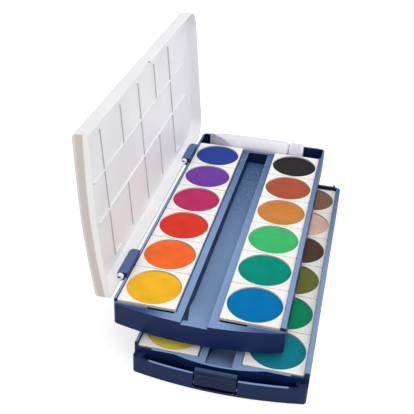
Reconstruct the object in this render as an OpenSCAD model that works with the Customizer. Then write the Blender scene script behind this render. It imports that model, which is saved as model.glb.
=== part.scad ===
/* [Paint pans] */
// Side of a square paint pan
pan_w = 31.8; // [29:0.1:34]
// Height of a pan
pan_h = 10; // [9:0.5:12]
// Gap between two pans in a row
pan_gap = 0.24; // [0.1:0.02:0.6]
// Diameter of a paint tablet
paint_d = 30; // [26:0.5:30]
// Thickness of a paint tablet at its edge
paint_t = 6.5; // [4:0.5:7]
// How far a tablet's edge lies below the pan's top
paint_drop = 0.8; // [0.4:0.1:1.5]
// Thickness of a pan's walls and cup floor
pan_wall = 1.1; // [0.9:0.1:1.4]

/* [Trays] */
// Wall thickness of the tray mouldings
wall = 1.4; // [1.2:0.1:1.8]
// Width of the brush channel between its ledges
channel_w = 14; // [11:0.5:16]
// Width of each flat ledge beside the channel
ledge_w = 4.7; // [4:0.1:6]
// Width of the rim right of the pans
rim_right = 2.8; // [2:0.1:4]
// Depth of the wells and the channel below the deck
well_h = 8.5; // [7.5:0.5:9]
// Clearance between the pans and their well
well_clear = 0.12; // [0.08:0.02:0.3]
// Thickness of the stiffening ribs under a tray
rib_t = 1.2; // [1:0.1:1.6]
// Radius of the trays' back corners
back_r = 4; // [2:0.5:5]
// Radius of the trays' front corners
front_r = 2; // [1.6:0.1:3]

/* [Upper tray] */
// Height of the upper tray from its foot to its deck
up_h = 13.5; // [13:0.5:16]
// Height of its side and back rims above the pans
up_rim = 1; // [0.5:0.1:2]
// How far the front edge bows out in the middle
up_bow = 6; // [4:0.5:8]
// Deck in front of the pans at the corners
up_front = 1.4; // [1.3:0.1:3]
// How far the upper tray lies left of the lower one
set_left = 15.4; // [12:0.2:18]
// How far the upper tray lies behind the lower one
set_back = 12; // [8:0.5:14]

/* [Lower tray] */
// Height of the lower tray's deck
low_h = 13.5; // [13:0.5:16]
// Height of its side and back rims above the pans
low_rim = 2.5; // [1.5:0.1:3]
// Height of the lower front wall
front_wall_h = 10.4; // [9:0.2:12]
// Depth of the front pocket at the corners, wall included
pocket_d = 5.2; // [4.8:0.1:7]
// How far the front wall bows out in the middle
low_bow = 4.5; // [3:0.5:6]

/* [Lid] */
// Depth of the lid from its mouth to its roof
lid_h = 8.5; // [8:0.1:12]
// Wall thickness of the lid
lid_wall = 1.4; // [1.2:0.1:1.8]
// Radius of the lid's rounded roof edge
lid_edge = 1.6; // [1:0.1:2.4]
// How much the lid's walls lean in from its mouth to its roof edge
lid_draft = 0.3; // [0.1:0.1:0.8]
// Radius of the lid's back corners
lid_back_r = 14; // [8:1:16]
// How far the lid's front edge bows out in the middle
lid_bow = 5; // [4:0.5:7]
// Angle at which the open lid stands
lid_open = 95; // [85:1:100]
// Gap between the closed lid and the rim
lid_gap = 0.2; // [0.1:0.05:0.5]
// Height and width of the ridges between the mixing fields
ridge = 0.9; // [0.6:0.1:1.2]
// Radius of the hinge knuckles
knuckle_r = 2; // [1.8:0.1:2.2]
// Length of a hinge knuckle
knuckle_l = 23.5; // [14:0.5:26]
// Width of a lid eye
eye_w = 3; // [2.4:0.1:4]
// Radius of the pivot studs
stud_r = 0.9; // [0.7:0.05:1.1]
// Radial clearance of the studs in their eyes
stud_clear = 0.05; // [0.03:0.01:0.1]

/* [Latch] */
// Width of the latch
latch_w = 22; // [16:0.5:26]
// Height of the latch's top
latch_top = 13.3; // [12:0.1:15]
// Radius of the latch's rounded top bar
bar_r = 1.6; // [1.3:0.1:1.8]
// Thickness of the latch plate
latch_t = 1.6; // [1.3:0.1:2]
// Radius of the latch pin
pin_r = 0.7; // [0.5:0.05:0.9]

/* [Paint tube] */
// Diameter of the paint tube
tube_d = 13.2; // [11:0.2:13.6]
// Length of the tube without its cap
tube_l = 59; // [50:1:64]
// Length of the screw cap
cap_l = 10; // [8:0.5:12]
// Left end of the tube, from the middle of the tray
tube_left = 38; // [34:0.5:40]
// Diameter of the cap
cap_d = 12.4; // [10:0.2:13]

/* [Hidden] */
$fn = 96;
ROWS = 6;
EPS = 0.01;
FIT = 0.3;

// Places along X and Y, from the middle of a tray's pans
pitch = pan_w + pan_gap;
row_l = ROWS * pitch;
gutter = channel_w + 2 * ledge_w;
col_x = (gutter + pitch) / 2;
well_w = pan_w + 2 * well_clear;
well_l = row_l - pan_gap + 2 * well_clear;
well_y = well_l / 2;
x_left = -col_x - well_w / 2 - wall;
x_right = col_x + well_w / 2 + rim_right;
x_mid = (x_left + x_right) / 2;

// Heights inside a tray are counted from the top of its pans
up_stand = pan_h - well_h;
low_stand = pan_h - well_h - 1;
well_z = -pan_h;
up_foot = -up_stand - up_h;
low_foot = well_z - 4;
up_deck = -up_stand;
low_deck = low_foot + low_h;

// Trough for the tube behind the upper pans: the tube's axis lies just below the pans' top
tube_r = tube_d / 2;
tube_clear = 0.2;
tube_z = -0.35;
tube_y = well_y + tube_clear + tube_r;
trough_y1 = tube_y + tube_r + tube_clear;
trough_z = tube_z - tube_r - 0.05;
up_back = trough_y1 + wall;
up_corner = -well_y - up_front;
up_nose = up_corner - up_bow;

// Notch at the channel's front end, and finger recesses before the front pans
notch_d = 1.3;
finger_w = 14.5;
finger_y = 1.2;
finger_d = 2.6;

// Front pocket of the lower tray
low_back = well_y + wall;
low_corner = -well_y - wall - pocket_d + 1.2;
low_nose = low_corner - low_bow;
deck_edge = -well_y - wall;
deck_bow = 3.6;
deck_bow_w = 48;
window_y = deck_edge - deck_bow - 0.1;

// The row frame stands on the foot of the lower tray
low_z = -low_foot;
up_z = low_z + low_rim - up_foot;

// Hinge axis of the lid, in the upper tray
hinge_x = x_left - knuckle_r - 0.2;
hinge_z = knuckle_r + 0.2;
eye_r = knuckle_r - 0.1;
knuckle_y = [18 - row_l / 2, row_l / 2 - 35];
// Top of the stop lugs: the open lid's hinge wall lies on them
stop_z = hinge_z - 1.1;
lid_x0 = hinge_x - lid_wall / 2;
lid_x1 = x_right;
lid_y1 = up_back;
lid_corner = up_corner - 0.7;
lid_z = up_rim + lid_gap;
roof_z = lid_z + lid_h;
lid_w = lid_x1 - lid_x0;
ridge_x = [for (k = [0.0755, 0.3895, 0.636, 0.881]) lid_x0 + k * lid_w];
ridge_y0 = -4;

// Latch of the lower tray
latch_y = low_nose + latch_t + 0.2;
latch_z = low_foot + 3.6;
latch_clear = 0.6;
barrel_r = pin_r + 0.8;
cheek_t = 2.6;
pin_l = latch_w + 2 * (latch_clear + cheek_t) - 0.6;

UPPER_COLOURS = ["#2b4594", "#7241a0", "#b73263", "#d63a2b", "#ee6a2e", "#edb327",
                 "#333133", "#ab543c", "#ca833f", "#40b86d", "#038a78", "#0071ae"];
LOWER_COLOURS = ["#e8e4da", "#c9a0c8", "#7d2f4a", "#8c1f2c", "#e39a7a", "#f2dd57",
                 "#8a6a52", "#e6bfae", "#5a4436", "#75753c", "#0f8f63", "#137f8f"];
NAVY = "#223260";
PANS = [for (i = [1:2 * ROWS]) i];

// Frames of the two trays and of the open lid
module in_lower() translate([0, 0, low_z]) children();
module in_upper() translate([-set_left, set_back, up_z]) children();
module in_lid() in_upper() translate([hinge_x, 0, hinge_z]) rotate([0, -lid_open, 0])
    translate([-hinge_x, 0, -hinge_z]) children();

// Outline with a bowed front and round corners, drawn in by t all round
module outline(x0, x1, y_back, y_corner, bow, r_back, r_front, t) {
    xm = (x0 + x1) / 2;
    w = (x1 - x0) / 2;
    big = (w * w + bow * bow) / (2 * bow);
    cy = y_corner - bow + big;
    xt = (w - r_front) * (big - t) / (big - r_front);
    ys = cy - sqrt(pow(big - r_front, 2) - pow(w - r_front, 2));
    rb = max(r_back - t, 0.4);
    rf = r_front - t;
    xf = rf > 0.1 ? xt : w - t;
    union() {
        intersection() {
            translate([xm, cy]) circle(big - t, $fn = 240);
            translate([xm - xf, y_corner - bow - 1]) square([2 * xf, ys + 2 - y_corner + bow]);
        }
        translate([xm - w + t, ys]) square([2 * (w - t), y_back - t - rb - ys]);
        translate([xm - w + t + rb, ys]) square([2 * (w - t - rb), y_back - t - ys]);
        for (s = [-1, 1]) translate([xm + s * (w - t - rb), y_back - t - rb]) circle(rb, $fn = 48);
        if (rf > 0.1) for (s = [-1, 1]) translate([xm + s * (w - r_front), ys]) circle(rf, $fn = 32);
    }
}

module upper_outline(t = 0) outline(x_left, x_right, up_back, up_corner, up_bow, back_r, front_r, t);
module lower_outline(t = 0) outline(x_left, x_right, low_back, low_corner, low_bow, back_r, front_r, t);
module lid_outline(t = 0) outline(lid_x0, lid_x1, lid_y1, lid_corner, lid_bow, lid_back_r, 0, t);

module slab(z0, z1) translate([0, 0, z0]) linear_extrude(z1 - z0) children();
module block(x0, x1, y0, y1, z0, z1) translate([x0, y0, z0]) cube([x1 - x0, y1 - y0, z1 - z0]);
module rod(r, x0, x1) translate([x0, 0, 0]) rotate([0, 90, 0]) cylinder(h = x1 - x0, r = r);
module bar_y(r, y0, y1) translate([0, y0, 0]) rotate([-90, 0, 0]) cylinder(h = y1 - y0, r = r);

// Well for six pans in each column
module wells() {
    for (s = [-1, 1])
        block(s * col_x - well_w / 2, s * col_x + well_w / 2, -well_y, well_y, well_z, 20);
}

// Hollow cells under the wells, the ledges and the channel, between ribs
module cells(foot) {
    top = well_z - wall;
    for (s = [-1, 1]) for (i = [0:ROWS - 1])
        block(s * col_x - (pitch - rib_t) / 2, s * col_x + (pitch - rib_t) / 2,
              -row_l / 2 + i * pitch + rib_t / 2, -row_l / 2 + (i + 1) * pitch - rib_t / 2, foot - 1, top);
    for (i = [0:ROWS - 1])
        block(-(channel_w - rib_t) / 2, (channel_w - rib_t) / 2,
              -row_l / 2 + i * pitch + rib_t / 2, -row_l / 2 + (i + 1) * pitch - rib_t / 2, foot - 1, top);
}

// Slots that hollow the two ledges from below
module ledge_slots(foot, deck) {
    w = ledge_w - 2 * wall;
    for (s = [-1, 1])
        block(s * (channel_w + ledge_w) / 2 - w / 2, s * (channel_w + ledge_w) / 2 + w / 2,
              -well_y, well_y - 2 * wall, foot - 1, deck - wall);
}

// Brush channel: a level floor, and a ramp up to the front
module channel(y_front, y_back, z_front, ramp_l) {
    translate([channel_w / 2, 0, 0]) rotate([0, -90, 0]) linear_extrude(channel_w)
        polygon([[20, y_front], [z_front, y_front], [well_z, y_front + ramp_l], [well_z, y_back], [20, y_back]]);
}

// Side and back rims that stand above the deck
module rims(z0, z1, y_front, y_inner) {
    intersection() {
        slab(z0, z1) children();
        union() {
            block(x_left - 1, x_left + wall, y_front, 200, z0, z1);
            block(x_right - rim_right, x_right + 1, y_front, 200, z0, z1);
            block(x_left - 1, x_right + 1, y_inner, 200, z0, z1);
        }
    }
}

module knuckle(y0) {
    translate([hinge_x, 0, hinge_z]) {
        bar_y(knuckle_r, y0, y0 + knuckle_l);
        bar_y(stud_r, y0 - eye_w - FIT, y0 + 1);
    }
    block(hinge_x, x_left + wall, y0, y0 + knuckle_l, hinge_z - knuckle_r, hinge_z + knuckle_r);
    block(hinge_x - 2.9, x_left + 0.5, y0, y0 + knuckle_l, hinge_z - knuckle_r - 1.6, stop_z);
}

module upper_tray() color(NAVY) in_upper() {
    difference() {
        union() {
            slab(up_foot, up_deck) upper_outline();
            rims(up_deck - EPS, up_rim, up_corner + 1, trough_y1) upper_outline();
            for (y = knuckle_y) knuckle(y);
        }
        wells();
        block(x_left + wall, x_right - wall, well_y - EPS, trough_y1, trough_z, 20);
        channel(up_nose + wall, well_y - wall, up_deck - notch_d, 30);
        block(-channel_w / 2, channel_w / 2, up_nose - 1, up_nose + wall + 1, up_deck - notch_d, 20);
        for (s = [-1, 1])
            translate([s * (gutter + finger_w + 1) / 2, -well_y, up_deck - finger_d + 10])
                cube([finger_w, 2 * finger_y, 20], center = true);
        cells(up_foot);
        ledge_slots(up_foot, up_deck);
        block(x_left + wall, x_right - wall, well_y + rib_t, trough_y1, up_foot - 1, trough_z - wall);
        intersection() {
            slab(up_foot - 1, up_deck - finger_d - wall) upper_outline(wall);
            block(-34, 34, up_nose, -well_y - wall, up_foot - 1, 0);
        }
    }
}

// Round posts at the front corners, with a ring on top
module corner_posts() {
    for (x = [x_left + 3.4, x_right - 3.4]) translate([x, low_corner + 3.2, 0]) {
        slab(low_foot, low_foot + 11) circle(2.9, $fn = 48);
        slab(low_foot, low_foot + 11.8) difference() {
            circle(1.9, $fn = 48);
            circle(1.1, $fn = 48);
        }
    }
}

// Curved front edge of the lower deck
module deck_plan() {
    big = (pow(deck_bow_w / 2, 2) + deck_bow * deck_bow) / (2 * deck_bow);
    union() {
        translate([x_left, deck_edge]) square([x_right - x_left, 20]);
        intersection() {
            translate([0, deck_edge - deck_bow + big]) circle(big, $fn = 240);
            translate([-deck_bow_w / 2, deck_edge - deck_bow - 1]) square([deck_bow_w, deck_bow + 2]);
        }
    }
}

module lower_tray() color(NAVY) in_lower() {
    difference() {
        union() {
            difference() {
                slab(low_foot, low_deck) lower_outline();
                difference() {
                    slab(low_foot + wall, 20) lower_outline(wall);
                    slab(low_foot, 21) deck_plan();
                    block(x_left, x_right, deck_edge, 200, low_foot, 21);
                }
                block(x_left - 1, x_right + 1, low_nose - 1, deck_edge - EPS, low_foot + front_wall_h, low_deck + 1);
            }
            slab(low_foot, low_deck) intersection() {
                deck_plan();
                lower_outline();
            }
            intersection() {
                corner_posts();
                slab(low_foot, 20) lower_outline();
            }
            intersection() {
                latch_cheeks();
                slab(low_foot, 20) lower_outline();
            }
            rims(low_deck - EPS, low_rim, deck_edge, well_y) lower_outline();
            for (x = [x_left + 3.8, x_right - 4.6]) translate([x, low_back - wall / 2, 0])
                slab(low_rim - 1, low_rim + 1.5) circle(0.65, $fn = 32);
        }
        wells();
        channel(deck_edge - deck_bow + wall, well_y - wall, low_deck - 1.2, 26);
        cells(low_foot);
        ledge_slots(low_foot, low_deck);
        latch_window();
    }
}

// Cheeks between the front wall and the deck that hold the latch pin
module latch_cheeks() {
    for (s = [-1, 1])
        translate([s * (latch_w / 2 + latch_clear + cheek_t / 2), (low_nose + window_y) / 2, low_foot + 3.4])
            cube([cheek_t, window_y - low_nose + 1, 6.8], center = true);
}

// Window in the front wall for the latch, with holes for its pin
module latch_window() {
    block(-latch_w / 2 - latch_clear, latch_w / 2 + latch_clear, low_nose - 1, window_y, low_foot + wall, 20);
    translate([0, latch_y, latch_z]) rod(pin_r, -pin_l / 2, pin_l / 2);
}

module latch() color(NAVY) in_lower() {
    difference() {
        union() {
            block(-latch_w / 2, latch_w / 2, low_nose, low_nose + latch_t, latch_z, low_foot + latch_top - bar_r - 1.5);
            translate([0, latch_y, latch_z]) rod(barrel_r, -latch_w / 2, latch_w / 2);
            block(-latch_w / 2, latch_w / 2, low_nose + 0.5, low_nose + 0.5 + latch_t,
                  low_foot + latch_top - bar_r - 2, low_foot + latch_top - bar_r);
            translate([0, low_nose + 0.3 + bar_r, low_foot + latch_top - bar_r])
                rod(bar_r, -latch_w / 2, latch_w / 2);
        }
        translate([0, latch_y, latch_z]) rod(pin_r + 0.05, -latch_w / 2 - 1, latch_w / 2 + 1);
    }
}

module latch_pin() color("#9aa6bd") in_lower()
    translate([0, latch_y, latch_z]) rod(pin_r, -pin_l / 2, pin_l / 2);

// Solid of the lid drawn in by t: walls that lean in, and a rounded roof edge
module lid_form(t, z0, z1) hull() {
    r = lid_edge - t / 2;
    slab(z0, z0 + EPS) lid_outline(t);
    for (a = [0:30:90]) translate([0, 0, -r * (1 - sin(a))])
        slab(z1 - EPS, z1) lid_outline(t + lid_draft + r * (1 - cos(a)));
}

// Lid, drawn closed and turned open about the hinge
module mixing_lid() color("#f2f2f3") in_lid() {
    difference() {
        union() {
            difference() {
                lid_form(0, lid_z, roof_z);
                lid_form(lid_wall, lid_z - 1, roof_z - lid_wall);
            }
            ridges();
            for (y = knuckle_y) translate([hinge_x, 0, hinge_z]) bar_y(eye_r, y - FIT / 2 - eye_w, y - FIT / 2);
        }
        for (y = knuckle_y) {
            block(lid_x0 - 1, lid_x0 + lid_wall + 1, y - FIT / 2, y + knuckle_l + FIT, lid_z - 1,
                  hinge_z + knuckle_r + 0.35);
            translate([hinge_x, 0, hinge_z]) bar_y(stud_r + stud_clear, y - eye_w - 1, y + 1);
        }
        translate([lid_x1 - lid_wall / 2, ridge_y0, lid_z]) cube([lid_wall + 1, 12, 3], center = true);
    }
}

// Ridges between the mixing fields: two long ones and a staggered set of cross ones
module ridges() {
    z = roof_z - lid_wall - ridge;
    for (x = [ridge_x[1], ridge_x[2]])
        block(x - ridge / 2, x + ridge / 2, ridge_y0 - 2.5 * pitch, ridge_y0 + 3 * pitch, z, roof_z - 0.5);
    for (i = [-2:2]) {
        y = ridge_y0 + i * pitch;
        block(ridge_x[0], i % 2 == 0 ? ridge_x[3] : ridge_x[1], y - ridge / 2, y + ridge / 2, z, roof_z - 0.5);
        if (i % 2 != 0) block(ridge_x[2], ridge_x[3], y - ridge / 2, y + ridge / 2, z, roof_z - 0.5);
    }
    for (y = [ridge_y0 - 2 * pitch, ridge_y0 + 2 * pitch])
        block(ridge_x[0], ridge_x[0] + ridge, y, y + 10, z, roof_z - 0.5);
}

module square_round(w, r) {
    union() {
        square([w, w - 2 * r], center = true);
        square([w - 2 * r, w], center = true);
        for (i = [-1, 1]) for (j = [-1, 1]) translate([i * (w / 2 - r), j * (w / 2 - r)]) circle(r, $fn = 24);
    }
}

// Square pan with a round cup for the paint, open below at its corners
module pan() {
    cup = paint_drop + paint_t;
    difference() {
        slab(-pan_h, 0) square_round(pan_w, 0.9);
        slab(-cup, 1) circle(paint_d / 2);
        slab(-pan_h - 1, -pan_wall) difference() {
            square([pan_w - 2 * pan_wall, pan_w - 2 * pan_wall], center = true);
            circle(paint_d / 2 + pan_wall);
        }
        slab(-pan_h - 1, -cup - pan_wall) circle(paint_d / 2 - 1);
    }
}

// Pressed paint, a little dished on top
module paint() {
    rotate_extrude() polygon([[0, -paint_drop - paint_t], [paint_d / 2, -paint_drop - paint_t],
                              [paint_d / 2, -paint_drop], [paint_d / 2 - 1.6, -paint_drop - 0.35],
                              [0, -paint_drop - 0.5]]);
}

// Place of pan i: six down the left column from the back, then six down the right
module at_pan(i) {
    k = i - 1;
    translate([k < ROWS ? -col_x : col_x, row_l / 2 - (k % ROWS + 0.5) * pitch, 0]) children();
}
module upper_pan(i) color("#f3f1ec") in_upper() at_pan(i) pan();
module upper_paint(i) color(UPPER_COLOURS[i - 1]) in_upper() at_pan(i) paint();
module lower_pan(i) color("#f3f1ec") in_lower() at_pan(i) pan();
module lower_paint(i) color(LOWER_COLOURS[i - 1]) in_lower() at_pan(i) paint();

module in_tube() in_upper() translate([-tube_left, tube_y, tube_z]) rotate([0, 90, 0]) children();

// Tube: a round body that flattens to a folded crimp, with a shoulder and a neck
module tube_body() color("#e9e7ec") in_tube() {
    hull() {
        translate([-tube_r * 0.85, -0.5, 2]) cube([tube_r * 1.7, 1, 1]);
        translate([0, 0, 20]) cylinder(h = 1, r = tube_r - 0.05, $fn = 32);
    }
    translate([-tube_r * 0.87, -0.8, 0]) cube([tube_r * 1.74, 1.6, 3]);
    translate([0, 0, 20.5]) cylinder(h = tube_l - 22.5, r = tube_r);
    translate([0, 0, tube_l - 2]) cylinder(h = 2, r1 = tube_r, r2 = tube_r - 2);
    translate([0, 0, tube_l - 1]) cylinder(h = 8, r = 3);
}

module tube_cap() color("#f1f0f2") in_tube() translate([0, 0, tube_l + FIT]) difference() {
    cylinder(h = cap_l, r = cap_d / 2);
    translate([0, 0, -1]) cylinder(h = 9, r = 3.05);
}

lower_tray();
upper_tray();
mixing_lid();
latch();
latch_pin();
tube_body();
tube_cap();
for (i = PANS) {
    upper_pan(i);
    upper_paint(i);
    lower_pan(i);
    lower_paint(i);
}
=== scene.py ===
import math

import bmesh
import bpy
from mathutils import Matrix, Vector


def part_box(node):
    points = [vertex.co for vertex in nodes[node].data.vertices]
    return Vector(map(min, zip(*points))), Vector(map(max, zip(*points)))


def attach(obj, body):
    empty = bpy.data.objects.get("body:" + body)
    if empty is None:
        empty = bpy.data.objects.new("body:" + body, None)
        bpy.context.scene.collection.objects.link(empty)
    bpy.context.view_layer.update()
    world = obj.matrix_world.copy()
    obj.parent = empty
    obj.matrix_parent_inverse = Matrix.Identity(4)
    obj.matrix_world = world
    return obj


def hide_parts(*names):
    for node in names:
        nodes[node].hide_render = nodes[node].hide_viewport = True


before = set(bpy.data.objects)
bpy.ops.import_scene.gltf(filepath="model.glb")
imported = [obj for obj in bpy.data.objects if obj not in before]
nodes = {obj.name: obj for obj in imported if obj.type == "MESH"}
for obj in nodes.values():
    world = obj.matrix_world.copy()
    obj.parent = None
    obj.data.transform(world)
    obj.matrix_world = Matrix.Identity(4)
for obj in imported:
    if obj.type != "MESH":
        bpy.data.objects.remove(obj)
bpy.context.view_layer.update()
scene = bpy.context.scene

# Shapes are given in millimetres, as in the solids, and MM takes them to Blender's metres
MM = 0.001
RIGHT, UP = Vector((1, 0, 0)), Vector((0, 0, 1))


# Places, worked out from the solids

def solid_box(*names):
    """Lowest and highest corner of one or more solids together, in millimetres."""
    axes = list(zip(*(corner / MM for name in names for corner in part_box(name))))
    return Vector([min(axis) for axis in axes]), Vector([max(axis) for axis in axes])


# Pans and tablets are numbered down the left column from the back, then down the right one
PANS = range(1, 13)


class Pans:
    """Where the pans of a tray stand, in millimetres."""

    def __init__(self, tray):
        low, high = solid_box(*(f"{tray}_pan_{i}" for i in PANS))
        self.middle = (low.x + high.x) / 2
        self.front, self.back, self.top = low.y, high.y, high.z
        self.left_column_end = solid_box(f"{tray}_pan_1")[1].x


upper_pans, lower_pans = Pans("upper"), Pans("lower")
lid_low, lid_high = solid_box("mixing_lid")
tube_low, tube_high = solid_box("tube_body")
cap_start = solid_box("tube_cap")[0].x
LID_OPEN = 95        # degrees from closed to standing open


# Colours

def linear(colour):
    """Linear colour of a hex colour."""
    parts = [int(colour[i:i + 2], 16) / 255 for i in (1, 3, 5)]
    parts = [p / 12.92 if p <= 0.04045 else ((p + 0.055) / 1.055) ** 2.4 for p in parts]
    return (*parts, 1.0)


def shade(colour, factor):
    """A linear colour made lighter or darker by a factor."""
    return (*[min(1.0, part * factor) for part in colour[:3]], 1.0)


# Materials

class Finish:
    """A node material under construction, on the piece's own Object coordinates."""

    def __init__(self, name, roughness, specular):
        self.mat = bpy.data.materials.new(name)
        self.mat.use_nodes = True
        self.tree = self.mat.node_tree
        self.shader = self.tree.nodes["Principled BSDF"]
        self.shader.inputs["Roughness"].default_value = roughness
        self.shader.inputs["Specular IOR Level"].default_value = specular
        self.place = self.tree.nodes.new("ShaderNodeTexCoord")

    def link(self, output, socket):
        self.tree.links.new(output, socket)

    def noise(self, scale, detail, rough=0.5, stretch=None):
        """Noise from nought to one. A stretch below one draws it out along that axis."""
        node = self.tree.nodes.new("ShaderNodeTexNoise")
        node.inputs["Scale"].default_value = scale
        node.inputs["Detail"].default_value = detail
        node.inputs["Roughness"].default_value = rough
        source = self.place.outputs["Object"]
        if stretch:
            mapping = self.tree.nodes.new("ShaderNodeMapping")
            mapping.inputs["Scale"].default_value = stretch
            self.link(source, mapping.inputs["Vector"])
            source = mapping.outputs["Vector"]
        self.link(source, node.inputs["Vector"])
        return node.outputs["Fac"]

    def spread(self, value, low, high, out_low=0.0, out_high=1.0):
        """The value taken from low..high to out_low..out_high, with soft ends."""
        node = self.tree.nodes.new("ShaderNodeMapRange")
        node.interpolation_type = "SMOOTHSTEP"
        ends = {"From Min": low, "From Max": high, "To Min": out_low, "To Max": out_high}
        for key, end in ends.items():
            node.inputs[key].default_value = end
        self.link(value, node.inputs["Value"])
        return node.outputs["Result"]

    def blend(self, factor, first, second):
        """Two colours mixed by a factor. Each is a colour or the output of a node."""
        node = self.tree.nodes.new("ShaderNodeMix")
        node.data_type = "RGBA"
        self.link(factor, node.inputs[0])
        for source, socket in ((first, node.inputs[6]), (second, node.inputs[7])):
            if isinstance(source, tuple):
                socket.default_value = source
            else:
                self.link(source, socket)
        return node.outputs[2]

    def times(self, *masks):
        """The masks multiplied together."""
        product = masks[0]
        for mask in masks[1:]:
            node = self.tree.nodes.new("ShaderNodeMath")
            node.operation = "MULTIPLY"
            self.link(product, node.inputs[0])
            self.link(mask, node.inputs[1])
            product = node.outputs[0]
        return product

    def axis_of(self, output, axis):
        """One axis of the place or the normal."""
        node = self.tree.nodes.new("ShaderNodeSeparateXYZ")
        self.link(self.place.outputs[output], node.inputs[0])
        return node.outputs[axis]

    def facing(self, axis, low, high):
        """How far a surface faces along an axis of the piece."""
        return self.spread(self.axis_of("Normal", axis), low, high)

    def along(self, axis, low, high):
        """How far a point lies along an axis, between two places in millimetres."""
        return self.spread(self.axis_of("Object", axis), low * MM, high * MM)

    def across(self, direction, low, high):
        """How far a point lies along a slanting direction, between two places in millimetres."""
        node = self.tree.nodes.new("ShaderNodeVectorMath")
        node.operation = "DOT_PRODUCT"
        self.link(self.place.outputs["Object"], node.inputs[0])
        node.inputs[1].default_value = direction
        return self.spread(node.outputs["Value"], low * MM, high * MM)

    def strip(self, axis, low, high, soft=0.15):
        """One between two places on an axis, nought outside them."""
        return self.times(self.along(axis, low - soft, low + soft),
                          self.along(axis, high + soft, high - soft))

    def colour(self, source):
        self.link(source, self.shader.inputs["Base Color"])

    def rough(self, value, low, high):
        """Roughness that follows a noise, from low to high."""
        self.link(self.spread(value, 0.3, 0.7, low, high), self.shader.inputs["Roughness"])

    def bump(self, height, strength, distance):
        """Relief that follows a noise, its distance in millimetres."""
        node = self.tree.nodes.new("ShaderNodeBump")
        node.inputs["Strength"].default_value = strength
        node.inputs["Distance"].default_value = distance * MM
        self.link(height, node.inputs["Height"])
        self.link(node.outputs["Normal"], self.shader.inputs["Normal"])


# Where the navy's tones change, in millimetres
# Painted reflection: between these two places the decks' painted reflection fades and they turn
# deeper
DECK_NEAR, DECK_FAR = -30, 110       # Y from which and to which the decks turn deeper
KNUCKLE_LOW = upper_pans.top + 1.4   # the rims' height, above which only the knuckles rise
KNUCKLE_HIGH = upper_pans.top + 1.7
SEAM_W = 0.87                        # the gap between the left pans and the channel's ledge
WEDGE_X, WEDGE_BACK, WEDGE_FRONT = -6.8, 12.0, -3.0    # from the middle and the pans' front
WEDGE_W, WEDGE_SLANT = 4.0, 0.18
CORNER_LEFT, CORNER_RIGHT = 35.5, 36.5                 # from the middle to the pocket's ends


def navy_plastic(name, pans, apron=False, pocket=False):
    """Satin navy moulding: deep in its walls and steel blue where it looks up, the steel blue being
    a painted reflection.

    The upper tray has an apron in front of its pans, and the lower one a pocket.
    """
    look = Finish(name, roughness=0.4, specular=0.14)
    wall_tone, far_reflection_tone, near_reflection_tone = linear("#0d2048"), linear("#42618d"), linear("#7b97c1")
    apron_left, apron_right = linear("#2d4270"), linear("#3d5684")
    seam_shade_tone, groove_shade_tone, pocket_shade_tone = linear("#1a2a52"), linear("#1b2a50"), linear("#0b1026")
    knuckle_tone, edge_highlight_tone = linear("#4c6899"), linear("#a9bddc")

    wall = look.blend(look.noise(30, 4), shade(wall_tone, 0.85), shade(wall_tone, 1.2))
    # The decks carry a painted reflection, lighter in front and deeper towards the back
    deck = look.blend(look.along("Y", DECK_NEAR, DECK_FAR), near_reflection_tone, far_reflection_tone)
    dust = look.spread(look.noise(520, 5, 0.65), 0.5, 0.78)
    deck = look.blend(dust, deck, shade(near_reflection_tone, 1.12))
    if apron:
        # The apron darkens to both sides, and the channel's front has a dark wedge at its left, the
        # painted shade of a groove
        front = look.along("Y", pans.front, pans.front - 2.0)
        to_left = look.along("X", pans.middle - 9, pans.middle - 30)
        to_right = look.along("X", pans.middle + 12, pans.middle + 34)
        deck = look.blend(look.times(front, to_left), deck, apron_left)
        deck = look.blend(look.times(front, to_right), deck, apron_right)
        left, back = pans.middle + WEDGE_X, pans.front + WEDGE_BACK
        edge = left + WEDGE_SLANT * back
        wedge = look.times(look.across((1.0, WEDGE_SLANT, 0.0), edge + 0.2, edge - 0.2),
                           look.strip("X", left - 0.1, left + WEDGE_W),
                           look.strip("Y", pans.front + WEDGE_FRONT, back))
        deck = look.blend(wedge, deck, groove_shade_tone)
    # Painted shade in the gap between the left pans and the channel's ledge
    seam_shade = look.times(look.strip("X", pans.left_column_end, pans.left_column_end + SEAM_W),
                      look.strip("Y", pans.front - 0.1, pans.back))
    deck = look.blend(seam_shade, deck, seam_shade_tone)
    # Above the rims the knuckles' tops take a duller painted reflection of their own
    deck = look.blend(look.along("Z", KNUCKLE_LOW, KNUCKLE_HIGH), deck, knuckle_tone)
    # Faces that look up take the decks' painted reflection, and the rest take the walls' navy
    tone = look.blend(look.facing("Z", 0.35, 0.95), wall, deck)
    # The rounded edges carry a painted pale highlight, but not those of the knuckles
    edge_highlight = look.times(look.facing("Z", 0.3, 0.6), look.facing("Z", 0.97, 0.8),
                      look.along("Z", KNUCKLE_HIGH, KNUCKLE_LOW))
    tone = look.blend(edge_highlight, tone, edge_highlight_tone)
    if pocket:
        beside = look.along("Y", pans.front, pans.front - 1.0)
        for corner in (look.along("X", pans.middle - CORNER_LEFT, pans.middle - CORNER_LEFT - 1),
                       look.along("X", pans.middle + CORNER_RIGHT, pans.middle + CORNER_RIGHT + 1)):
            tone = look.blend(look.times(beside, corner), tone, wall)
        # Painted shade on the deep pocket floors
        inside = look.times(look.along("Y", pans.front + 2.6, pans.front + 1.4),
                            look.along("Z", pans.top - 5.0, pans.top - 6.5),
                            look.facing("Z", 0.4, 0.8))
        tone = look.blend(inside, tone, pocket_shade_tone)
    look.colour(tone)
    look.rough(look.noise(90, 4), 0.34, 0.48)
    look.bump(look.noise(2600, 2), 0.10, 0.05)
    return look.mat


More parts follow.
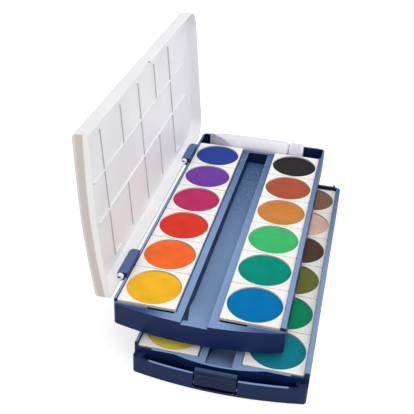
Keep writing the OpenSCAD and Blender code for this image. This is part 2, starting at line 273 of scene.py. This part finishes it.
def latch_plastic(name):
    """The same navy, polished by fingers, its top painted lighter as a reflection."""
    look = Finish(name, roughness=0.3, specular=0.12)
    tone, top = linear("#101c3a"), linear("#33466f")
    wall = look.blend(look.noise(60, 3), shade(tone, 0.9), shade(tone, 1.2))
    # Painted reflection: the faces that look up are lighter
    look.colour(look.blend(look.facing("Z", 0.4, 0.95), wall, top))
    look.rough(look.noise(110, 4), 0.16, 0.28)
    look.bump(look.noise(2600, 2), 0.06, 0.04)
    return look.mat


def lid_plastic(name):
    """Milky lid moulding, faintly scuffed inside, with painted shade on its ridges' front sides and
    in its warmer front end wall.
    """
    look = Finish(name, roughness=0.42, specular=0.25)
    milk, scuffed, ridge_shade_tone = linear("#f0f0f2"), linear("#ebebee"), linear("#bcbcc2")
    outer, warm, inner = linear("#d3cecb"), linear("#c2b6b1"), linear("#e2e0de")

    face = look.blend(look.spread(look.noise(26, 4, 0.55), 0.4, 0.7), milk, scuffed)
    # Painted shade on the sides of the ridges that face the front
    ridges = look.times(look.facing("Y", -0.6, -0.9),
                        look.along("Y", lid_high.y - 21.1, lid_high.y - 24.1))
    face = look.blend(ridges, face, ridge_shade_tone)
    # The front end wall is greyed with painted shade, in three bands one behind the other from the
    # roof to the rim, the middle one warm and darkest
    turn = math.radians(LID_OPEN)
    depth = (-math.sin(turn), 0.0, math.cos(turn))
    bands = look.blend(look.across(depth, 65.8, 64.8), outer, warm)
    bands = look.blend(look.across(depth, 61.9, 61.0), bands, inner)
    end_wall = look.times(look.facing("Y", -0.75, -0.98),
                          look.along("Y", lid_low.y + 21.2, lid_low.y + 11.2))
    look.colour(look.blend(end_wall, face, bands))
    look.rough(look.noise(60, 4), 0.36, 0.5)
    look.bump(look.noise(160, 2), 0.04, 0.05)
    return look.mat


def pan_plastic(name):
    """White pan moulding with a trace of paint dust, its sides greyer and its front darker in
    painted shade, and a painted shadow in the finger recess.
    """
    look = Finish(name, roughness=0.5, specular=0.25)
    white, dusty, recess_shadow_tone = linear("#f3f2ee"), linear("#ebe8e1"), linear("#15151d")
    flank, front = linear("#e4e1da"), linear("#b9b1a2")
    top = look.blend(look.spread(look.noise(70, 5, 0.6), 0.45, 0.8), white, dusty)
    # Painted shade: the sides are a little greyer than the top, and the front faces darker still
    side = look.blend(look.facing("Y", -0.5, -0.95), flank, front)
    # A painted shadow on the front faces of the front pans, just under their top in the finger
    # recess
    recess = look.times(look.along("Y", upper_pans.front + 0.4, upper_pans.front),
                        look.strip("Z", upper_pans.top - 3.3, upper_pans.top - 1.55))
    side = look.blend(recess, side, recess_shadow_tone)
    look.colour(look.blend(look.facing("Z", 0.3, 0.9), side, top))
    look.rough(look.noise(140, 3), 0.44, 0.56)
    look.bump(look.noise(1800, 3), 0.06, 0.05)
    return look.mat


def pressed_paint(name, colour):
    """Chalky pressed gouache: fine grain and soft clouds of tone."""
    look = Finish(name, roughness=0.9, specular=0.08)
    tone = linear(colour)
    grain = look.noise(2200, 4, 0.6)
    clouds = look.spread(look.noise(95, 4, 0.6), 0.3, 0.7)
    base = look.blend(clouds, shade(tone, 0.92), shade(tone, 1.05))
    look.colour(look.blend(look.spread(grain, 0.55, 0.8), base, shade(tone, 1.15)))
    look.bump(grain, 0.2, 0.07)
    return look.mat


def pin_metal(name):
    """Drawn steel wire."""
    look = Finish(name, roughness=0.4, specular=0.5)
    look.shader.inputs["Metallic"].default_value = 1.0
    steel = linear("#7b818c")
    look.colour(look.blend(look.noise(900, 3), shade(steel, 0.8), steel))
    look.bump(look.noise(3000, 2, 0.5, stretch=(0.05, 1.0, 1.0)), 0.1, 0.02)
    return look.mat


def tube_skin(name):
    """Lacquered foil: a plain pale wrap, lilac on its shaded side, and bare at the fold."""
    look = Finish(name, roughness=0.36, specular=0.4)
    wrap, lilac, silver = linear("#e2dfe8"), linear("#bdb5cd"), linear("#c3c2c8")
    mottle = look.spread(look.noise(120, 4, 0.6, stretch=(0.35, 1.0, 1.0)), 0.4, 0.7)
    skin = look.blend(mottle, wrap, shade(wrap, 0.9))
    skin = look.blend(look.facing("Z", 0.45, -0.5), skin, lilac)
    fold = look.along("X", tube_low.x + 4.4, tube_low.x + 3.0)
    look.colour(look.blend(fold, skin, silver))
    look.rough(look.noise(200, 3), 0.28, 0.46)
    look.bump(look.noise(210, 3, 0.5, stretch=(0.5, 1.0, 1.0)), 0.3, 0.2)
    return look.mat


def cap_plastic(name):
    """White screw cap, lilac on its shaded side."""
    look = Finish(name, roughness=0.4, specular=0.35)
    white, lilac = linear("#e8e7ec"), linear("#c6c0d2")
    lit = look.blend(look.noise(120, 3), shade(white, 0.95), white)
    look.colour(look.blend(look.facing("Z", 0.7, -0.4), lit, lilac))
    look.bump(look.noise(2000, 2), 0.06, 0.05)
    return look.mat


# The tablets' colours, in the order of their numbers
UPPER_TONES = ["#2b4594", "#7241a0", "#b73263", "#d63a2b", "#ee6a2e", "#edb327",
               "#2c2a2d", "#ab543c", "#ca833f", "#40b86d", "#038a78", "#0071ae"]
LOWER_TONES = ["#e8e4da", "#c9a0c8", "#7d2f4a", "#8c1f2c", "#e39a7a", "#f2dd57",
               "#8a6a52", "#e6bfae", "#5a4436", "#75753c", "#0f8f63", "#137f8f"]
# A finish for each slot of the record, and the lower tray's and the latch's own
finishes = {
    "navy_plastic": navy_plastic("navy_plastic_moulding", upper_pans, apron=True),
    "lower_navy": navy_plastic("navy_plastic_with_pockets", lower_pans, pocket=True),
    "latch_navy": latch_plastic("navy_plastic_polished"),
    "lid_plastic": lid_plastic("lid_plastic_milky"),
    "pan_plastic": pan_plastic("pan_plastic_white"),
    "pin_metal": pin_metal("pin_steel"),
    "tube_skin": tube_skin("tube_wrap"),
    "cap_plastic": cap_plastic("cap_plastic_white"),
}
for tray, tones in (("upper", UPPER_TONES), ("lower", LOWER_TONES)):
    for i, tone in zip(PANS, tones):
        finishes[f"{tray}_paint_{i}"] = pressed_paint(f"{tray}_pressed_paint_{i}", tone)
for node in nodes.values():
    for place in node.material_slots:
        place.material = finishes[place.material.name.split(".")[0]]


# Making pieces

MERGE = 0.025 * MM       # corners of a solid's triangles closer than this are one
TINY = 0.001 * MM        # shorter edges are closed up
SHARP_DEG = 38           # a moulding's edges above this angle are rounded


def new_piece(name, bm, body, slot, replaced, finish=None, smooth_deg=35, weighted=True):
    """A piece from a bmesh, riding on a body, with its slot's finish or one of its own."""
    bmesh.ops.recalc_face_normals(bm, faces=bm.faces)
    for face in bm.faces:
        face.smooth = True
    for edge in bm.edges:
        if len(edge.link_faces) == 2:
            edge.smooth = edge.calc_face_angle(0) < math.radians(smooth_deg)
    mesh = bpy.data.meshes.new(name)
    bm.to_mesh(mesh)
    bm.free()
    mesh.materials.append(finishes[finish or slot])
    piece = bpy.data.objects.new(name, mesh)
    scene.collection.objects.link(piece)
    if weighted:
        shading = piece.modifiers.new("even_shading", "WEIGHTED_NORMAL")
        shading.keep_sharp = True
        shading.weight = 100
    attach(piece, body)
    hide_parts(replaced)


def copy_of(solid):
    """A bmesh copy of a CAD node with its loose triangles merged into whole faces."""
    bm = bmesh.new()
    bm.from_mesh(nodes[solid].data)
    bmesh.ops.remove_doubles(bm, verts=bm.verts, dist=MERGE)
    bmesh.ops.dissolve_degenerate(bm, dist=TINY, edges=bm.edges)
    return bm


def soften(bm, width):
    """Rounds the sharp edges of a moulding by a width in millimetres."""
    sharp = [edge for edge in bm.edges if len(edge.link_faces) == 2
             and edge.calc_face_angle(0) > math.radians(SHARP_DEG)]
    bmesh.ops.bevel(bm, geom=sharp, offset=width * MM, offset_type="OFFSET", segments=2,
                    profile=0.5, affect="EDGES", clamp_overlap=False, material=-1,
                    loop_slide=False)
    return bm


def turned(profile, start, axis, side, steps=72):
    """A closed body of revolution: a profile of (distance along the axis, radius), spun."""
    bm = bmesh.new()
    verts = [bm.verts.new((start + axis * along + side * radius) * MM) for along, radius in profile]
    edges = [bm.edges.new(pair) for pair in zip(verts, verts[1:])]
    bmesh.ops.spin(bm, geom=verts + edges, cent=start * MM, axis=axis, angle=math.tau,
                   steps=steps, use_merge=True)
    bmesh.ops.remove_doubles(bm, verts=bm.verts, dist=TINY)
    bmesh.ops.recalc_face_normals(bm, faces=bm.faces)
    return bm


# Trays, lid and latch: solid and body, slot, finish, and how far its edges are rounded
MOULDINGS = [
    ("upper_tray", "navy_plastic", "navy_plastic", 0.25),
    ("lower_tray", "navy_plastic", "lower_navy", 0.25),
    ("mixing_lid", "lid_plastic", "lid_plastic", 0.3),
    ("latch", "navy_plastic", "latch_navy", 0.2),
]
for part, slot, finish, width in MOULDINGS:
    new_piece(f"{part}_moulding", soften(copy_of(part), width), part, slot, part, finish)


# Pans and tablets

PAN_EDGE = 0.2


def tablet(solid):
    """A pressed tablet from its foot to its slightly dished face."""
    low, high = solid_box(solid)
    radius, thick = (high.x - low.x) / 2, high.z - low.z
    foot = [(-thick, 0.0), (-thick, radius - 0.8), (-thick + 0.5, radius)]
    rim = [(-0.4, radius), (-0.16, radius - 0.08), (-0.04, radius - 0.28), (0.0, radius - 0.6)]
    dish = [(-0.04, radius - 1.6), (-0.16, radius - 2.8), (-0.2, radius * 0.6),
            (-0.24, radius * 0.3), (-0.25, 0.0)]
    top = Vector(((low.x + high.x) / 2, (low.y + high.y) / 2, high.z))
    return turned(foot + rim + dish, top, UP, RIGHT)


for tray in ("upper", "lower"):
    for i in PANS:
        pan, paint = f"{tray}_pan_{i}", f"{tray}_paint_{i}"
        new_piece(f"{tray}_pan_moulding_{i}", soften(copy_of(pan), PAN_EDGE), pan,
                  "pan_plastic", pan)
        new_piece(f"{tray}_tablet_{i}", tablet(paint), pan, paint, paint,
                  smooth_deg=60, weighted=False)


# Paint tube, on an axis along X

TUBE_R = 6.6
TUBE_Y, TUBE_Z = (tube_low.y + tube_high.y) / 2, tube_low.z + TUBE_R
PRESSED, ROUND = 4.0, 1.0            # how far a ring's sides are pressed flat
RING_POINTS = 64
FOLD_HALF, CRIMP_HALF = 0.8, 0.62    # half thickness of the folded end and of its crimp lines
CRIMPS, CRIMP_W = (1.0, 2.1), 0.15   # crimp lines from the end, and half their width
OPENING, OPENING_RINGS = 17.45, 14   # over which the fold opens out to the round body


def foil_ring(bm, place, thick, high, press):
    """A ring across the tube, with half its thickness and height, and its sides pressed flat."""
    ring = bmesh.ops.create_circle(bm, cap_ends=False, segments=RING_POINTS, radius=1.0)["verts"]
    for vert in ring:
        across = math.copysign(min(1.0, abs(vert.co.x) * press), vert.co.x)
        vert.co = Vector((place, TUBE_Y + thick * across, TUBE_Z + high * vert.co.y)) * MM
    return [edge for edge in bm.edges if edge.verts[0] in ring and edge.verts[1] in ring]


# Each ring: distance from the folded end, half thickness and half height
fold = [(0.0, 0.55, 5.72), (0.15, 0.78, 5.74)]
for crimp in CRIMPS:
    fold += [(crimp - CRIMP_W, FOLD_HALF, 5.74), (crimp, CRIMP_HALF, 5.74),
             (crimp + CRIMP_W, FOLD_HALF, 5.74)]
fold += [(2.9, FOLD_HALF, 5.74), (3.05, 0.6, 5.72)]
rings = [(tube_low.x + distance, thick, high, PRESSED) for distance, thick, high in fold]
fold_x, fold_thick, fold_high, _ = rings[-1]
for k in range(1, OPENING_RINGS + 1):
    share = k / OPENING_RINGS
    rings.append((fold_x + OPENING * share,
                  fold_thick + (TUBE_R - fold_thick) * math.sin(share * math.pi / 2),
                  fold_high + (TUBE_R - fold_high) * share,
                  ROUND + (PRESSED - ROUND) * (1 - share) ** 3))
# Body, shoulder and neck: distance back from the neck's end, and radius
for distance, radius in ((32.6, TUBE_R), (20.6, TUBE_R), (9.4, TUBE_R), (8.9, 6.5), (8.2, 5.9),
                         (7.3, 4.8), (7.0, 4.5), (6.95, 3.0), (0.0, 3.0)):
    rings.append((tube_high.x - distance, radius, radius, ROUND))
bm = bmesh.new()
loops = [foil_ring(bm, *ring) for ring in rings]
for loop, following in zip(loops, loops[1:]):
    bmesh.ops.bridge_loops(bm, edges=loop + following)
bmesh.ops.holes_fill(bm, edges=loops[0] + loops[-1], sides=RING_POINTS)
new_piece("tube_foil", bm, "paint_tube", "tube_skin", "tube_body", smooth_deg=40, weighted=False)


# Cap, grooved for grip between two plain bands: distance along it, and radius

CAP = [(0.0, 0.0), (0.0, 5.6), (0.15, 6.05), (0.4, 6.2), (1.2, 6.2), (8.5, 6.2), (9.4, 6.15),
       (9.8, 6.0), (10.0, 5.7), (10.0, 0.0)]
GRIP_START, GRIP_END = 1.2, 8.5
GROOVE_W, GROOVE_DEPTH = 0.09 * MM, 0.2 * MM
bm = turned(CAP, Vector((cap_start, TUBE_Y, TUBE_Z)), RIGHT, UP)
grip = [face for face in bm.faces if abs(face.normal.x) < 0.2
        and GRIP_START < face.calc_center_median().x / MM - cap_start < GRIP_END]
bmesh.ops.inset_individual(bm, faces=grip, thickness=GROOVE_W, depth=-GROOVE_DEPTH,
                           use_even_offset=True)
new_piece("tube_cap_moulding", bm, "tube_cap", "cap_plastic", "tube_cap", smooth_deg=30,
          weighted=False)


# Floor and world

def background_rays(tree):
    """One for the rays that show the background: the camera's, glossy and transmission rays."""
    path = tree.nodes.new("ShaderNodeLightPath")
    shown = path.outputs["Is Camera Ray"]
    for ray in ("Is Glossy Ray", "Is Transmission Ray"):
        either = tree.nodes.new("ShaderNodeMath")
        either.operation = "MAXIMUM"
        tree.links.new(shown, either.inputs[0])
        tree.links.new(path.outputs[ray], either.inputs[1])
        shown = either.outputs[0]
    return shown


def map_range(tree, value, **ends):
    """The value taken evenly from one range to another."""
    node = tree.nodes.new("ShaderNodeMapRange")
    for key, end in ends.items():
        node.inputs[key.replace("_", " ").title()].default_value = end
    tree.links.new(value, node.inputs["Value"])
    return node.outputs["Result"]


# In metres
FLOOR_HALF, FLOOR_DROP = 4.0, 0.0002
white = (1, 1, 1, 1)
bm = bmesh.new()
bmesh.ops.create_grid(bm, x_segments=1, y_segments=1, size=FLOOR_HALF)
mesh = bpy.data.meshes.new("floor")
bm.to_mesh(mesh)
bm.free()
floor = bpy.data.objects.new("floor", mesh)
floor.location.z = -FLOOR_DROP
scene.collection.objects.link(floor)

# The floor keeps the shadow round the box and turns white further out
pale = Finish("pale_floor", roughness=0.9, specular=0.1)
pale.shader.inputs["Base Color"].default_value = (0.86, 0.86, 0.86, 1)
pale.shader.inputs["Emission Color"].default_value = white
far = pale.tree.nodes.new("ShaderNodeVectorMath")
far.operation = "LENGTH"
pale.link(pale.place.outputs["Object"], far.inputs[0])
lift = map_range(pale.tree, far.outputs["Value"], from_min=0.3, from_max=0.9,
                 to_min=0.52, to_max=0.8)
pale.link(pale.times(background_rays(pale.tree), lift), pale.shader.inputs["Emission Strength"])
mesh.materials.append(pale.mat)

world = bpy.data.worlds.new("studio")
scene.world = world
world.use_nodes = True
background = world.node_tree.nodes["Background"]
background.inputs["Color"].default_value = white
level = map_range(world.node_tree, background_rays(world.node_tree), to_min=0.5, to_max=1.0)
world.node_tree.links.new(level, background.inputs["Strength"])


# Lamps: name, place and size in metres, and power in watts

BOX_MIDDLE = Vector((-0.03, 0.02, 0.03))
SOFTBOXES = [
    ("top_softbox", (0.15, 0.35, 1.3), 0.9, 6.0),
    ("side_softbox", (1.1, -0.2, 0.7), 0.7, 4.2),
    ("front_fill", (-0.15, -1.15, 0.5), 0.8, 5.5),
]
for name, place, size, power in SOFTBOXES:
    lamp = bpy.data.lights.new(name, "AREA")
    lamp.shape = "SQUARE"
    lamp.size = size
    lamp.energy = power
    softbox = bpy.data.objects.new(name, lamp)
    softbox.location = place
    softbox.rotation_euler = (BOX_MIDDLE - Vector(place)).to_track_quat("-Z", "Y").to_euler()
    scene.collection.objects.link(softbox)


# Camera: the photograph's view, fitted to the outlines of the upper tray's tablets

IMAGE_PX, FOCAL_PX, SENSOR = 414, 758.5, 36.0
AZIMUTH, ELEVATION, ROLL = (math.radians(angle) for angle in (11.63, 31.48, 2.66))
DISTANCE = 483.45
TARGET = Vector((-34.27, 20.42, 31.5))
back = Vector((math.sin(AZIMUTH) * math.cos(ELEVATION),
               -math.cos(AZIMUTH) * math.cos(ELEVATION),
               math.sin(ELEVATION)))
right = (-back).cross(UP).normalized()
up = right.cross(-back)
right, up = (math.cos(ROLL) * right + math.sin(ROLL) * up,
             math.cos(ROLL) * up - math.sin(ROLL) * right)
camera = bpy.data.objects.new("camera", bpy.data.cameras.new("camera"))
scene.collection.objects.link(camera)
camera.data.sensor_width = SENSOR
camera.data.lens = FOCAL_PX * SENSOR / IMAGE_PX
camera.data.clip_start, camera.data.clip_end = 0.01, 50.0
turn = Matrix((right, up, back)).transposed().to_4x4()
camera.matrix_world = Matrix.Translation((TARGET + back * DISTANCE) * MM) @ turn
scene.camera = camera
scene.view_settings.view_transform = "Standard"
